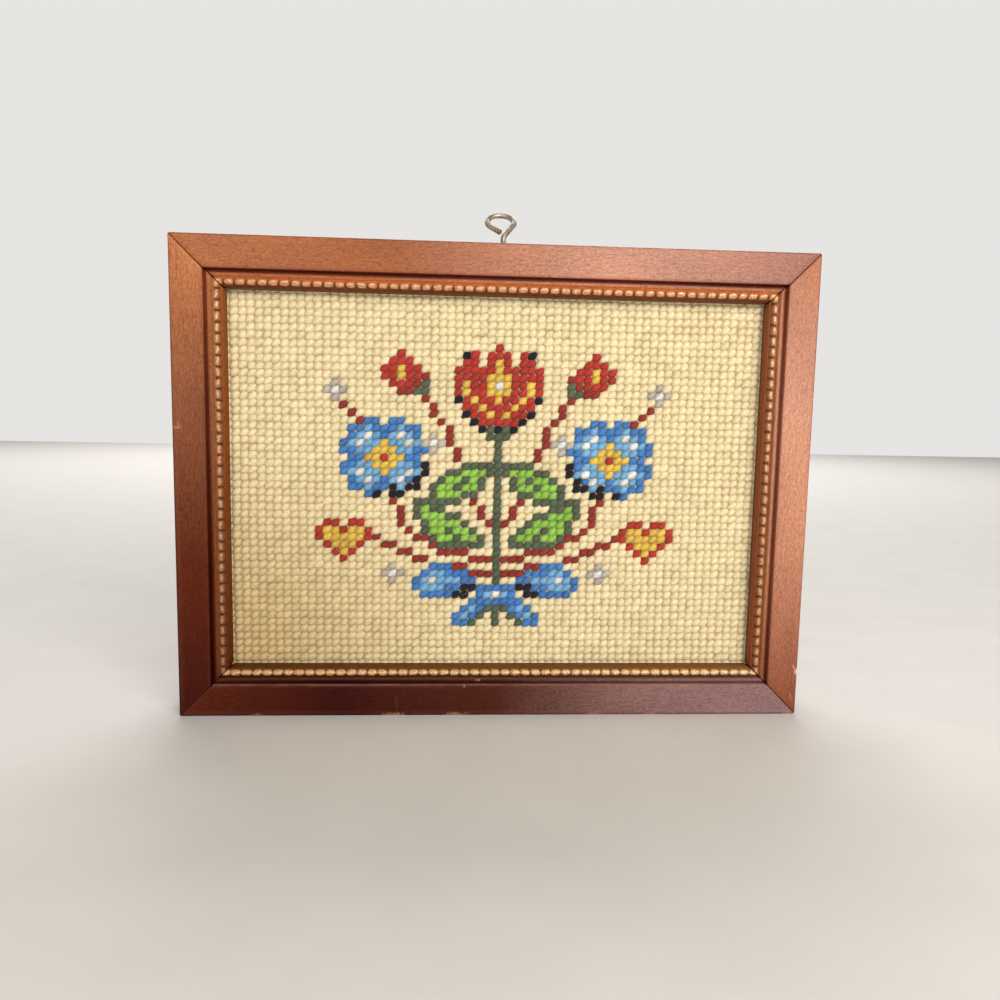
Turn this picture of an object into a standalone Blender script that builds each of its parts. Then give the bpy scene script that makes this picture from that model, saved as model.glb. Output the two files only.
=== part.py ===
"""Framed needlepoint picture: a small landscape picture in a mitred wooden moulding, with a screw eye on top.

The frame stands upright on its bottom edge. X runs to the right, Y to the back and Z up. The face looks
towards -Y. The origin is at the middle of the underside.
"""

import math

import bmesh
import bpy
from mathutils import Vector

MM = 0.001

# Overall size of the frame, without the screw eye.
FRAME_WIDTH = 204 * MM
FRAME_HEIGHT = 152 * MM
FRAME_DEPTH = 18 * MM

# Moulding profile. Widths run inwards from the outer edge, and heights run forwards from the back plane.
MOULDING_WIDTH = 15.5 * MM
FLAT_WIDTH = 10.2 * MM
OUTER_ARRIS_RADIUS = 0.8 * MM
INNER_ARRIS_RADIUS = 0.3 * MM
GROOVE_WIDTH = 0.3 * MM
GROOVE_HEIGHT = 15.1 * MM
RIDGE_RADIUS = 0.9 * MM
BEAD_FLOOR_HEIGHT = 14.8 * MM
BEAD_RADIUS = 0.85 * MM
BEAD_CENTRE = 13.4 * MM
LIP_START = 14.45 * MM
LIP_RADIUS = MOULDING_WIDTH - LIP_START
REBATE_WIDTH = 5.0 * MM
REBATE_CEILING = 10.9 * MM
MITRE_GAP = 0.3 * MM

# What the rebate holds, from the front backwards.
CLEARANCE = 0.3 * MM
NEEDLEPOINT_THICKNESS = 1.8 * MM
BOARD_THICKNESS = 2.5 * MM

# Screw eye. Its ring leans back from the shank, and its places are measured from the middle of the top edge.
WIRE_RADIUS = 0.87 * MM
SHANK_RADIUS = 0.8 * MM
SHANK_X = 0.66 * MM
SHANK_DEPTH = 8.0 * MM
SHANK_RISE = 3.8 * MM
POINT_LENGTH = 2.2 * MM
POINT_RADIUS = 0.2 * MM
HOLE_RADIUS = SHANK_RADIUS + CLEARANCE
HOLE_DEPTH = SHANK_DEPTH + 0.6 * MM
RING_RADIUS = 4.38 * MM
RING_CENTRE = Vector((-0.17, 4.86, 9.47)) * MM
RING_LEAN = math.radians(46)
RING_START = math.radians(-38)
RING_END = math.radians(215)
RING_TURNS = 9
FREE_END = Vector((-0.56, 0.60, 5.39)) * MM

ARC_STEPS = 6
CURVE_STEPS = 4


def clear_scene():
    """Removes what the scene holds, so that the model starts from nothing."""
    for item in list(bpy.data.objects):
        bpy.data.objects.remove(item, do_unlink=True)


def make_material(name, colour, roughness, metallic=0.0):
    """A Principled BSDF with one colour, roughness and metallic value."""
    material = bpy.data.materials.new(name)
    material.use_nodes = True
    shader = material.node_tree.nodes["Principled BSDF"]
    shader.inputs["Base Color"].default_value = (*colour, 1.0)
    shader.inputs["Roughness"].default_value = roughness
    shader.inputs["Metallic"].default_value = metallic
    return material


def add_object(name, data, material, parent):
    """Links a named object that carries one material under a parent empty."""
    item = bpy.data.objects.new(name, data)
    bpy.context.scene.collection.objects.link(item)
    data.materials.append(material)
    item.parent = parent
    return item


def arc(centre_in, centre_up, radius, start, end):
    """Points of a profile arc, from one angle to another in degrees."""
    points = []
    for step in range(ARC_STEPS + 1):
        angle = math.radians(start + (end - start) * step / ARC_STEPS)
        points.append((centre_in + radius * math.cos(angle), centre_up + radius * math.sin(angle)))
    return points


def moulding_profile():
    """Closed outline of the moulding as (distance inwards, height forwards) pairs, from the outer back corner."""
    ridge_start = FLAT_WIDTH + GROOVE_WIDTH
    rebate_wall = MOULDING_WIDTH - REBATE_WIDTH
    outline = [(0.0, 0.0)]
    outline += arc(OUTER_ARRIS_RADIUS, FRAME_DEPTH - OUTER_ARRIS_RADIUS, OUTER_ARRIS_RADIUS, 180, 90)
    outline += arc(FLAT_WIDTH - INNER_ARRIS_RADIUS, FRAME_DEPTH - INNER_ARRIS_RADIUS, INNER_ARRIS_RADIUS, 90, 0)
    outline += [(FLAT_WIDTH, GROOVE_HEIGHT)]
    outline += arc(ridge_start + RIDGE_RADIUS, GROOVE_HEIGHT, RIDGE_RADIUS, 180, 0)
    outline += [(ridge_start + 2 * RIDGE_RADIUS, BEAD_FLOOR_HEIGHT)]
    outline += arc(BEAD_CENTRE, BEAD_FLOOR_HEIGHT, BEAD_RADIUS, 180, 0)
    outline += arc(LIP_START, BEAD_FLOOR_HEIGHT - LIP_RADIUS, LIP_RADIUS, 90, 0)
    outline += [(MOULDING_WIDTH, REBATE_CEILING), (rebate_wall, REBATE_CEILING), (rebate_wall, 0.0)]
    return outline


def mitred_rail_mesh(name, length):
    """One rail along X with its outer edge at Z = 0 and both ends cut at 45 degrees, half a mitre gap short."""
    profile = moulding_profile()
    end_setback = MITRE_GAP / math.sqrt(2)
    shape = bmesh.new()
    rings = []
    for side in (-1, 1):
        ring = []
        for inward, height in profile:
            x = side * (length / 2 - inward - end_setback)
            ring.append(shape.verts.new((x, FRAME_DEPTH / 2 - height, inward)))
        rings.append(ring)
    count = len(profile)
    for index in range(count):
        following = (index + 1) % count
        shape.faces.new((rings[0][index], rings[0][following], rings[1][following], rings[1][index]))
    shape.faces.new(rings[0])
    shape.faces.new(rings[1])
    bmesh.ops.recalc_face_normals(shape, faces=shape.faces)
    mesh = bpy.data.meshes.new(name)
    shape.to_mesh(mesh)
    shape.free()
    return mesh


def build_rails(material, parent):
    """The four mitred rails, each turned to its side of the frame."""
    half_width = FRAME_WIDTH / 2
    half_height = FRAME_HEIGHT / 2
    places = {
        "rail_bottom": (FRAME_WIDTH, (0, 0, 0), 0),
        "rail_right": (FRAME_HEIGHT, (half_width, 0, half_height), -90),
        "rail_top": (FRAME_WIDTH, (0, 0, FRAME_HEIGHT), 180),
        "rail_left": (FRAME_HEIGHT, (-half_width, 0, half_height), 90),
    }
    rails = {}
    for name, (length, place, turn) in places.items():
        rail = add_object(name, mitred_rail_mesh(name, length), material, parent)
        rail.location = place
        rail.rotation_euler = (0, math.radians(turn), 0)
        rails[name] = rail
    return rails


def bore_eye_hole(rail, parent):
    """Cuts the blind hole for the screw eye's shank down into the top rail."""
    cutter_mesh = bpy.data.meshes.new("eye_hole_cutter")
    shape = bmesh.new()
    overshoot = 1 * MM
    bmesh.ops.create_cone(
        shape,
        cap_ends=True,
        segments=20,
        radius1=HOLE_RADIUS,
        radius2=HOLE_RADIUS,
        depth=HOLE_DEPTH + overshoot,
    )
    shape.to_mesh(cutter_mesh)
    shape.free()
    cutter = bpy.data.objects.new("eye_hole_cutter", cutter_mesh)
    bpy.context.scene.collection.objects.link(cutter)
    cutter.parent = parent
    cutter.location = (SHANK_X, 0, FRAME_HEIGHT - HOLE_DEPTH / 2 + overshoot / 2)
    cutter.hide_render = True
    cutter.display_type = "WIRE"
    cut = rail.modifiers.new("eye_hole", "BOOLEAN")
    cut.operation = "DIFFERENCE"
    cut.solver = "EXACT"
    cut.object = cutter


def build_panel(name, front_height, thickness, material, parent):
    """A flat panel that fills the rebate, its front face at the given height from the back plane."""
    width = FRAME_WIDTH - 2 * (MOULDING_WIDTH - REBATE_WIDTH + CLEARANCE)
    height = FRAME_HEIGHT - 2 * (MOULDING_WIDTH - REBATE_WIDTH + CLEARANCE)
    mesh = bpy.data.meshes.new(name)
    shape = bmesh.new()
    bmesh.ops.create_cube(shape, size=1.0)
    bmesh.ops.scale(shape, vec=(width, thickness, height), verts=shape.verts)
    shape.to_mesh(mesh)
    shape.free()
    panel = add_object(name, mesh, material, parent)
    panel.location = (0, FRAME_DEPTH / 2 - front_height + thickness / 2, FRAME_HEIGHT / 2)
    return panel


def catmull_rom(points, steps):
    """A smooth path through the points, with this many steps between one point and the next."""
    path = []
    last = len(points) - 1
    for index in range(last):
        before = points[max(index - 1, 0)]
        start = points[index]
        end = points[index + 1]
        after = points[min(index + 2, last)]
        for step in range(steps):
            t = step / steps
            bend = 2 * before - 5 * start + 4 * end - after
            twist = 3 * start - before - 3 * end + after
            path.append(start + 0.5 * t * (end - before + t * (bend + t * twist)))
    path.append(points[last])
    return path


def ring_point(angle):
    """A point of the leaning ring's centre line, from the middle of the top edge."""
    across = RING_RADIUS * math.cos(angle)
    up = RING_RADIUS * math.sin(angle)
    return RING_CENTRE + Vector((across, up * math.sin(RING_LEAN), up * math.cos(RING_LEAN)))


def eye_path():
    """Centre line and radii of the screw eye's wire, from its point in the wood to its free end."""
    bend = [Vector((SHANK_X, 0, SHANK_RISE / 3)), Vector((SHANK_X, 0, SHANK_RISE))]
    for turn in range(RING_TURNS):
        share = turn / (RING_TURNS - 1)
        bend.append(ring_point(RING_START + (RING_END - RING_START) * share))
    bend.append(FREE_END)
    wire = catmull_rom(bend, CURVE_STEPS)
    tip = Vector((SHANK_X, 0, -SHANK_DEPTH))
    shoulder = tip + Vector((0, 0, POINT_LENGTH))
    path = [tip, shoulder, Vector((SHANK_X, 0, 0)), *wire]
    radii = [POINT_RADIUS, SHANK_RADIUS, SHANK_RADIUS, SHANK_RADIUS] + [WIRE_RADIUS] * (len(wire) - 1)
    return path, radii


def build_screw_eye(material, parent):
    """The bent wire of the screw eye, with a pointed shank in the top rail and an open ring above it."""
    path, radii = eye_path()
    curve = bpy.data.curves.new("screw_eye", "CURVE")
    curve.dimensions = "3D"
    curve.bevel_depth = 1.0
    curve.bevel_resolution = 3
    curve.use_fill_caps = True
    spline = curve.splines.new("POLY")
    spline.points.add(len(path) - 1)
    for point, place, radius in zip(spline.points, path, radii):
        point.co = (*place, 1.0)
        point.radius = radius
    eye = add_object("screw_eye", curve, material, parent)
    eye.location = (0, 0, FRAME_HEIGHT)
    return eye


def main():
    clear_scene()
    base = bpy.data.objects.new("picture", None)
    bpy.context.scene.collection.objects.link(base)

    stained_wood = make_material("stained_wood", (0.30, 0.09, 0.035), 0.42)
    cream_wool = make_material("cream_wool", (0.80, 0.66, 0.38), 0.95)
    brown_board = make_material("brown_board", (0.26, 0.16, 0.09), 0.85)
    nickel_wire = make_material("nickel_wire", (0.55, 0.51, 0.45), 0.32, metallic=1.0)

    rails = build_rails(stained_wood, base)
    bore_eye_hole(rails["rail_top"], base)

    needlepoint_front = REBATE_CEILING - CLEARANCE
    board_front = needlepoint_front - NEEDLEPOINT_THICKNESS - CLEARANCE
    build_panel("needlepoint", needlepoint_front, NEEDLEPOINT_THICKNESS, cream_wool, base)
    build_panel("backing_board", board_front, BOARD_THICKNESS, brown_board, base)
    build_screw_eye(nickel_wire, base)


main()
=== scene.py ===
"""Looks of the framed needlepoint picture: stained rails, gilt beads, wool stitches, screw eye and studio."""

import math
import random
from collections import namedtuple

import bmesh
import bpy
import numpy as np
from mathutils import Matrix, Vector, noise


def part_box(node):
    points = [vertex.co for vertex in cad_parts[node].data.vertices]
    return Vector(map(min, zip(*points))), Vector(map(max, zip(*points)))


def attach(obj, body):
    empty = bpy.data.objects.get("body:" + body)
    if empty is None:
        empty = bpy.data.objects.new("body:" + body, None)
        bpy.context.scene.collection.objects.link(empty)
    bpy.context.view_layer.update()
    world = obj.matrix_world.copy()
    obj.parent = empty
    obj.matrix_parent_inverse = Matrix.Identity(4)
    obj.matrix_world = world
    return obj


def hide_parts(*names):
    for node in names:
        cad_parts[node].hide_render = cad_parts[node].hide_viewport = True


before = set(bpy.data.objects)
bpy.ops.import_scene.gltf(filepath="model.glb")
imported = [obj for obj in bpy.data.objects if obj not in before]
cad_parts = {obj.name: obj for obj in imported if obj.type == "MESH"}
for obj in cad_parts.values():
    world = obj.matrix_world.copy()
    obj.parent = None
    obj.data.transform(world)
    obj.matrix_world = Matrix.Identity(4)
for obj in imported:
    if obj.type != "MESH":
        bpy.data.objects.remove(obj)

# Without a seed, noise_vector would take one from the clock and differ from run to run.
noise.seed_set(7)

MM = 0.001
BODY = "root"


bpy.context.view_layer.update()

# Where the CAD parts stand. Every position below is worked out from these.
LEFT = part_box("rail_left")[0].x
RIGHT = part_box("rail_right")[1].x
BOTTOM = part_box("rail_bottom")[0].z
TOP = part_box("rail_top")[1].z
FRONT, BACK = (corner.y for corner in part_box("rail_top"))
MOULDING_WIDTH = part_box("rail_bottom")[1].z - BOTTOM
FRAME_WIDTH = RIGHT - LEFT
FRAME_HEIGHT = TOP - BOTTOM
CENTRE = Vector(((LEFT + RIGHT) / 2, 0, (BOTTOM + TOP) / 2))
PANEL_LOW, PANEL_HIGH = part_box("needlepoint")
PANEL_FRONT, PANEL_BACK = PANEL_LOW.y, PANEL_HIGH.y
PANEL_WIDTH = PANEL_HIGH.x - PANEL_LOW.x
PANEL_HEIGHT = PANEL_HIGH.z - PANEL_LOW.z


# ---- node helpers


def put(tree, kind, inputs=None, **settings):
    """Adds a shader node. An input is a value or the socket that feeds it."""
    item = tree.nodes.new(kind)
    for key, value in settings.items():
        setattr(item, key, value)
    for key, value in (inputs or {}).items():
        if isinstance(value, bpy.types.NodeSocket):
            tree.links.new(value, item.inputs[key])
        else:
            item.inputs[key].default_value = value
    return item


def calc(tree, operation, first, second=0.0, third=0.0):
    """One math node's result."""
    return put(tree, "ShaderNodeMath", {0: first, 1: second, 2: third}, operation=operation).outputs[0]


def weighted(tree, start, *terms):
    """A start plus values times their weights, given as (value, weight) pairs."""
    result = start
    for value, weight in terms:
        result = calc(tree, "MULTIPLY_ADD", value, weight, result)
    return result


def mix(tree, factor, first, second):
    """A colour between two colours."""
    first = first if isinstance(first, bpy.types.NodeSocket) else (*first, 1.0)
    second = second if isinstance(second, bpy.types.NodeSocket) else (*second, 1.0)
    item = put(tree, "ShaderNodeMix", {0: factor, 6: first, 7: second}, data_type="RGBA")
    return item.outputs[2]


def tinted(tree, factor, colour, tint):
    """A colour multiplied by a tint, as far as the factor says."""
    inputs = {0: factor, 6: colour, 7: (*tint, 1.0)}
    return put(tree, "ShaderNodeMix", inputs, data_type="RGBA", blend_type="MULTIPLY").outputs[2]


def ramp(tree, factor, colours):
    """A colour from evenly spaced stops."""
    item = put(tree, "ShaderNodeValToRGB", {"Fac": factor})
    stops = item.color_ramp.elements
    while len(stops) < len(colours):
        stops.new(1.0)
    for index, colour in enumerate(colours):
        stops[index].position = index / (len(colours) - 1)
        stops[index].color = (*colour, 1.0)
    return item.outputs[0]


def remap(tree, value, low, high, out_low=0.0, out_high=1.0):
    """A value clamped and stretched from one range to another."""
    inputs = {"Value": value, "From Min": low, "From Max": high, "To Min": out_low, "To Max": out_high}
    return put(tree, "ShaderNodeMapRange", inputs, interpolation_type="SMOOTHSTEP").outputs[0]


def noise_value(tree, coords, scale, detail=2.0, roughness=0.5, distortion=0.0):
    """A noise texture's value."""
    inputs = {"Vector": coords, "Scale": scale, "Detail": detail}
    inputs |= {"Roughness": roughness, "Distortion": distortion}
    return put(tree, "ShaderNodeTexNoise", inputs).outputs["Fac"]


def stretched(tree, coords, scale):
    """Coordinates scaled by a different factor along each axis."""
    return put(tree, "ShaderNodeMapping", {"Vector": coords, "Scale": scale}).outputs[0]


def object_coordinates(tree):
    """A place's coordinates in metres, from the object's own origin."""
    return put(tree, "ShaderNodeTexCoord").outputs["Object"]


def attribute(tree, name):
    """A float that the mesh carries at each vertex."""
    return put(tree, "ShaderNodeAttribute", attribute_name=name, attribute_type="GEOMETRY").outputs["Fac"]


def bumped(tree, height, distance, strength=1.0, below=None):
    """A normal from a height, on top of another normal if one is given."""
    inputs = {"Height": height, "Distance": distance, "Strength": strength}
    if below is not None:
        inputs["Normal"] = below
    return put(tree, "ShaderNodeBump", inputs).outputs[0]


def new_material(name, **sockets):
    """A Principled material with these plain socket values, and its tree and shader."""
    material = bpy.data.materials.new(name)
    material.use_nodes = True
    tree = material.node_tree
    shader = tree.nodes["Principled BSDF"]
    for key, value in sockets.items():
        shader.inputs[key.replace("_", " ")].default_value = value
    return material, tree, shader


def feed(shader, **sockets):
    """Links each of these results to the shader's socket of that name."""
    for key, result in sockets.items():
        shader.id_data.links.new(result, shader.inputs[key.replace("_", " ")])


def srgb(red, green, blue):
    """Linear colour of an sRGB one given from 0 to 255."""
    result = []
    for channel in (red, green, blue):
        value = channel / 255
        result.append(value / 12.92 if value <= 0.04045 else ((value + 0.055) / 1.055) ** 2.4)
    return tuple(result)


# ---- mesh helpers


def placed(name, data):
    """A new object in the scene."""
    item = bpy.data.objects.new(name, data)
    bpy.context.scene.collection.objects.link(item)
    return item


def add_piece(name, mesh, material, smooth=True):
    """A finished piece of the object that rides on its only body."""
    piece = placed(name, mesh)
    mesh.materials.append(material)
    if smooth:
        mesh.shade_smooth()
    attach(piece, BODY)
    return piece


def mesh_from(name, points, faces, **attributes):
    """A mesh from vertex positions, faces and one float per vertex for each named attribute."""
    mesh = bpy.data.meshes.new(name)
    mesh.from_pydata([tuple(point) for point in points], [], faces)
    for key, values in attributes.items():
        layer = mesh.attributes.new(key, "FLOAT", "POINT")
        layer.data.foreach_set("value", np.asarray(values, dtype=np.float32))
    mesh.update()
    return mesh


def outward(mesh, merge=0.0):
    """Turns every face to look outwards, after welding vertices closer than this."""
    shape = bmesh.new()
    shape.from_mesh(mesh)
    if merge:
        bmesh.ops.remove_doubles(shape, verts=shape.verts, dist=merge)
        bmesh.ops.dissolve_degenerate(shape, edges=shape.edges, dist=merge)
    bmesh.ops.recalc_face_normals(shape, faces=shape.faces)
    shape.to_mesh(mesh)
    shape.free()
    return mesh


def ring_faces(rings, sides, start):
    """Faces between the rings of a tube with this many sides, from this first vertex on."""
    faces = []
    for ring in range(rings - 1):
        low = start + ring * sides
        high = low + sides
        for side in range(sides):
            after = (side + 1) % sides
            faces.append((low + side, low + after, high + after, high + side))
    return faces


def tube_faces(rings, sides, start=0):
    """All faces of a tube that is closed at both ends."""
    end = start + (rings - 1) * sides
    caps = [tuple(range(first, first + sides)) for first in (start, end)]
    return ring_faces(rings, sides, start) + caps


def unit(value):
    """The value kept between 0 and 1."""
    return min(1.0, max(0.0, value))


def arc(centre_in, centre_up, radius, start, end, steps):
    """Points of a profile arc, from one angle to another in degrees."""
    points = []
    for step in range(steps + 1):
        angle = math.radians(start + (end - start) * step / steps)
        points.append((centre_in + radius * math.cos(angle), centre_up + radius * math.sin(angle)))
    return points


def subdivide(points, longest):
    """Closed outline with no stretch longer than this."""
    result = []
    for start, end in zip(points, points[1:] + points[:1]):
        count = max(1, math.ceil(math.dist(start, end) / longest))
        for step in range(count):
            share = step / count
            result.append((start[0] + (end[0] - start[0]) * share, start[1] + (end[1] - start[1]) * share))
    return result


SIDES = ("top", "right", "bottom", "left")


def by_side(*values):
    """One value for each side of the frame, from four in the order top, right, bottom, left."""
    return dict(zip(SIDES, values))


# Each rail is made lying along X with its outer edge at Z = 0, then turned to its side of the frame.
RAILS = {
    "bottom": (FRAME_WIDTH, Matrix.Translation((CENTRE.x, 0, BOTTOM))),
    "top": (FRAME_WIDTH, Matrix.Translation((CENTRE.x, 0, TOP)) @ Matrix.Rotation(math.pi, 4, "Y")),
    "left": (FRAME_HEIGHT, Matrix.Translation((LEFT, 0, CENTRE.z)) @ Matrix.Rotation(math.pi / 2, 4, "Y")),
    "right": (FRAME_HEIGHT, Matrix.Translation((RIGHT, 0, CENTRE.z)) @ Matrix.Rotation(-math.pi / 2, 4, "Y")),
}
MITRE_SETBACK = 0.2 * MM


def rail_reach(side):
    """The rail's own X at the left or lower end of a side of the frame, and at the other end."""
    half = RAILS[side][0] / 2
    return (half, -half) if side in ("top", "left") else (-half, half)


# ---- rails

FLAT_WIDTH = 10.2 * MM
DEPTH = BACK - FRONT
ARRIS_RADIUS = 0.7 * MM
INNER_ARRIS_RADIUS = 0.3 * MM
GROOVE_WIDTH = 0.3 * MM
GROOVE_HEIGHT = 15.6 * MM
RIDGE_RADIUS = 0.9 * MM
RIDGE_RISE = 0.6 * MM
RIDGE_CENTRE = FLAT_WIDTH + GROOVE_WIDTH + RIDGE_RADIUS
BANK_END = 12.95 * MM
BANK_HEIGHT = 15.35 * MM
BEAD_FLOOR = 14.8 * MM
BEAD_CENTRE = 13.5 * MM
LIP_START = 14.45 * MM
LIP_RADIUS = MOULDING_WIDTH - LIP_START
REBATE_WIDTH = 5.0 * MM
REBATE_CEILING = 10.9 * MM


def moulding_outline():
    """Profile of the moulding as (distance inwards, height forwards) pairs. The beads come on top of it."""
    outline = [(0.0, 0.0)]
    outline += arc(ARRIS_RADIUS, DEPTH - ARRIS_RADIUS, ARRIS_RADIUS, 180, 90, 8)
    outline += arc(FLAT_WIDTH - INNER_ARRIS_RADIUS, DEPTH - INNER_ARRIS_RADIUS, INNER_ARRIS_RADIUS, 90, 0, 5)
    outline += [(FLAT_WIDTH, GROOVE_HEIGHT)]
    for inward, height in arc(RIDGE_CENTRE, 0.0, RIDGE_RADIUS, 180, 0, 12):
        outline.append((inward, GROOVE_HEIGHT + height * RIDGE_RISE / RIDGE_RADIUS))
    outline += [(BANK_END - 0.35 * MM, BANK_HEIGHT)]
    outline += [(BANK_END, BANK_HEIGHT - 0.15 * MM), (BANK_END, BEAD_FLOOR)]
    outline += arc(LIP_START, BEAD_FLOOR - LIP_RADIUS, LIP_RADIUS, 90, 0, 10)
    outline += [
        (MOULDING_WIDTH, REBATE_CEILING),
        (MOULDING_WIDTH - REBATE_WIDTH, REBATE_CEILING),
        (MOULDING_WIDTH - REBATE_WIDTH, 0.0),
    ]
    return subdivide(outline, 0.7 * MM)


def outline_normals(outline):
    """Inward normals of a closed outline, for pressing dents and easing the mitred ends."""
    normals = []
    for before, after in zip(outline[-1:] + outline, outline[1:] + outline[:1]):
        run = (Vector(after) - Vector(before)).normalized()
        normals.append((run.y, -run.x))
    return normals


# Stain at evenly spaced places along each rail, from its left or lower end to the other, with painted light
# in it:
# painted shade makes the left and bottom rails darker towards the lower left, and painted reflection makes
# the right rail lighter and pinker and the right end of the bottom rail a pale pinkish grey.
WOOD_TONES = {
    "top": (srgb(172, 103, 64), srgb(154, 86, 46), srgb(190, 134, 108), srgb(149, 97, 81)),
    "right": (srgb(130, 59, 21), srgb(184, 120, 89), srgb(194, 134, 105), srgb(164, 95, 56)),
    "left": (srgb(62, 9, 3), srgb(91, 34, 10), srgb(134, 79, 51), srgb(191, 119, 76)),
    "bottom": (srgb(86, 30, 7), srgb(57, 9, 3), srgb(78, 32, 18), srgb(134, 99, 95), srgb(142, 109, 108)),
}
# The lip inside the beads, their bare wood and their gilt, in the same way. Painted shade is in these tones
# too: darker towards the lower end of the left rail and on the bottom rail's bead wood, and dark on the top
# rail's lip, which faces down.
LIP_TONES = {
    "top": (srgb(98, 42, 6), srgb(100, 44, 6)),
    "right": (srgb(126, 52, 2), srgb(132, 64, 8)),
    "left": (srgb(80, 26, 0), srgb(146, 78, 30)),
    "bottom": (srgb(82, 38, 2), srgb(124, 76, 28)),
}
BEAD_TONES = {
    "top": (srgb(184, 102, 54), srgb(190, 110, 60)),
    "right": (srgb(136, 76, 34), srgb(156, 96, 54)),
    "left": (srgb(90, 46, 18), srgb(160, 98, 54)),
    "bottom": (srgb(64, 28, 12), srgb(104, 66, 44)),
}
GILT_TONES = {
    "top": (srgb(236, 180, 130), srgb(244, 192, 142)),
    "right": (srgb(230, 172, 120), srgb(240, 194, 144)),
    "left": (srgb(168, 114, 70), srgb(250, 196, 140)),
    "bottom": (srgb(228, 180, 118), srgb(252, 212, 156)),
}
# The tint of the painted shade in the rails' hollows and at their edges.
PAINTED_SHADE_TINT = srgb(155, 69, 29)
GLOSS = {"top": 0.25, "right": 0.4, "left": 0.1, "bottom": 0.12}

# Chips and scratches, in mm: places along the rail from its middle, inwards across it and forwards from its
# back, then reach and depth. The last value is how far the bare wood shows, up to 1.
Chip = namedtuple("Chip", "rail along inward height reach_along reach_across depth shown")
CHIPS = [
    Chip("right", -61.3, 0.4, 17.8, 1.2, 0.9, 0.25, 1.0),
    Chip("right", -59.6, 1.3, 18.0, 0.5, 0.8, 0.12, 0.9),
    Chip("right", -69.5, 2.2, 18.0, 0.6, 0.7, 0.06, 0.3),
    Chip("left", -17.0, 1.6, 18.0, 0.35, 1.3, 0.08, 0.5),
    Chip("bottom", -33.5, 0.4, 17.9, 4.2, 0.42, 0.06, 0.5),
    Chip("bottom", -13.4, 0.4, 17.9, 3.4, 0.40, 0.08, 0.48),
    Chip("bottom", -77.0, 0.4, 17.9, 2.0, 0.34, 0.05, 0.38),
    Chip("bottom", 33.0, 0.4, 17.9, 3.0, 0.36, 0.05, 0.38),
    Chip("bottom", 52.5, 0.4, 17.9, 2.0, 0.36, 0.06, 0.40),
    Chip("bottom", 99.5, 0.4, 17.9, 2.0, 0.45, 0.10, 0.45),
    Chip("bottom", -32.3, 4.0, 18.0, 0.20, 3.6, 0.01, 0.06),
    Chip("bottom", -10.2, 10.1, 17.9, 0.32, 0.32, 0.06, 0.55),
    Chip("bottom", 63.4, 10.1, 17.9, 1.0, 0.25, 0.05, 0.25),
    Chip("bottom", -5.0, 11.4, 16.2, 0.22, 0.28, 0.05, 0.8),
]
# How steep the sides of a chip are, and how ragged and how finely broken its outline is.
CHIP_EDGE = 2.2
CHIP_RAGGEDNESS = 0.6
CHIP_GRAIN = 1800

# Upright stretches of the profile, as (distance inwards, lowest height, highest height).
GROOVE = (FLAT_WIDTH + 0.1 * MM, GROOVE_HEIGHT, GROOVE_HEIGHT)
RIDGE_FLANK = (FLAT_WIDTH + 0.75 * MM, GROOVE_HEIGHT, GROOVE_HEIGHT + RIDGE_RISE)
STEP = (FLAT_WIDTH, GROOVE_HEIGHT, DEPTH - 0.5 * MM)
STEP_TOP = (FLAT_WIDTH, DEPTH - 1.4 * MM, DEPTH - 0.5 * MM)
BANK = (RIDGE_CENTRE + RIDGE_RADIUS + 0.3 * MM, BEAD_FLOOR, GROOVE_HEIGHT)
SIGHT_EDGE = (MOULDING_WIDTH, REBATE_CEILING, REBATE_CEILING + 0.7 * MM)
OUTER_ARRIS = (0.15 * MM, DEPTH - 0.9 * MM, DEPTH - 0.3 * MM)
OUTER_RIM = (1.0 * MM, DEPTH, DEPTH)
INNER_RIM = (FLAT_WIDTH - 0.25 * MM, DEPTH, DEPTH)
# Painted shade: darker colour in the hollows of the profile and at its edges, strongest on the top rail's
# groove and step, which face down. Each is the stretch, its reach and how strongly it shows on each rail.
PAINTED_SHADE = [
    (GROOVE, 0.60 * MM, by_side(0.95, 0.55, 0.7, 0.7)),
    (RIDGE_FLANK, 0.45 * MM, by_side(0.9, 0.1, 0.2, 0.1)),
    (STEP, 0.55 * MM, by_side(1.0, 0.55, 0.0, 0.7)),
    (BANK, 0.45 * MM, by_side(0.0, 0.1, 0.9, 0.0)),
    (SIGHT_EDGE, 0.45 * MM, by_side(0.9, 0.8, 0.5, 0.1)),
    (OUTER_ARRIS, 0.40 * MM, by_side(0.4, 0.6, 1.0, 0.6)),
]
# Where hands and dusting have rubbed the stain thin, in the same way. On the bottom rail's step top, which
# faces up, the paler colour is a painted highlight, not wear.
RUBBED_AND_LIT = [
    (OUTER_RIM, 0.50 * MM, by_side(0.09, 0.07, 0.07, 0.07)),
    (INNER_RIM, 0.45 * MM, by_side(0.06, 0.06, 0.06, 0.06)),
    # Painted highlight, not wear, on the bottom rail's step top.
    (STEP_TOP, 0.30 * MM, by_side(0.0, 0.0, 0.95, 0.0)),
]
MITRE_RUB = 0.06
MITRE_RUB_REACH = 0.35 * MM
MITRE_EASE = 0.14 * MM
MITRE_EASE_REACH = 0.3 * MM


def strongest(side, inward, height, marks):
    """How strongly a place on one rail's profile has the nearest of these marks, from 0 to 1."""
    most = 0.0
    for (place, lowest, highest), reach, strength in marks:
        nearest = min(max(height, lowest), highest)
        away = math.dist((inward, height), (place, nearest))
        most = max(most, strength[side] * math.exp(-((away / reach) ** 2)))
    return most


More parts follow.
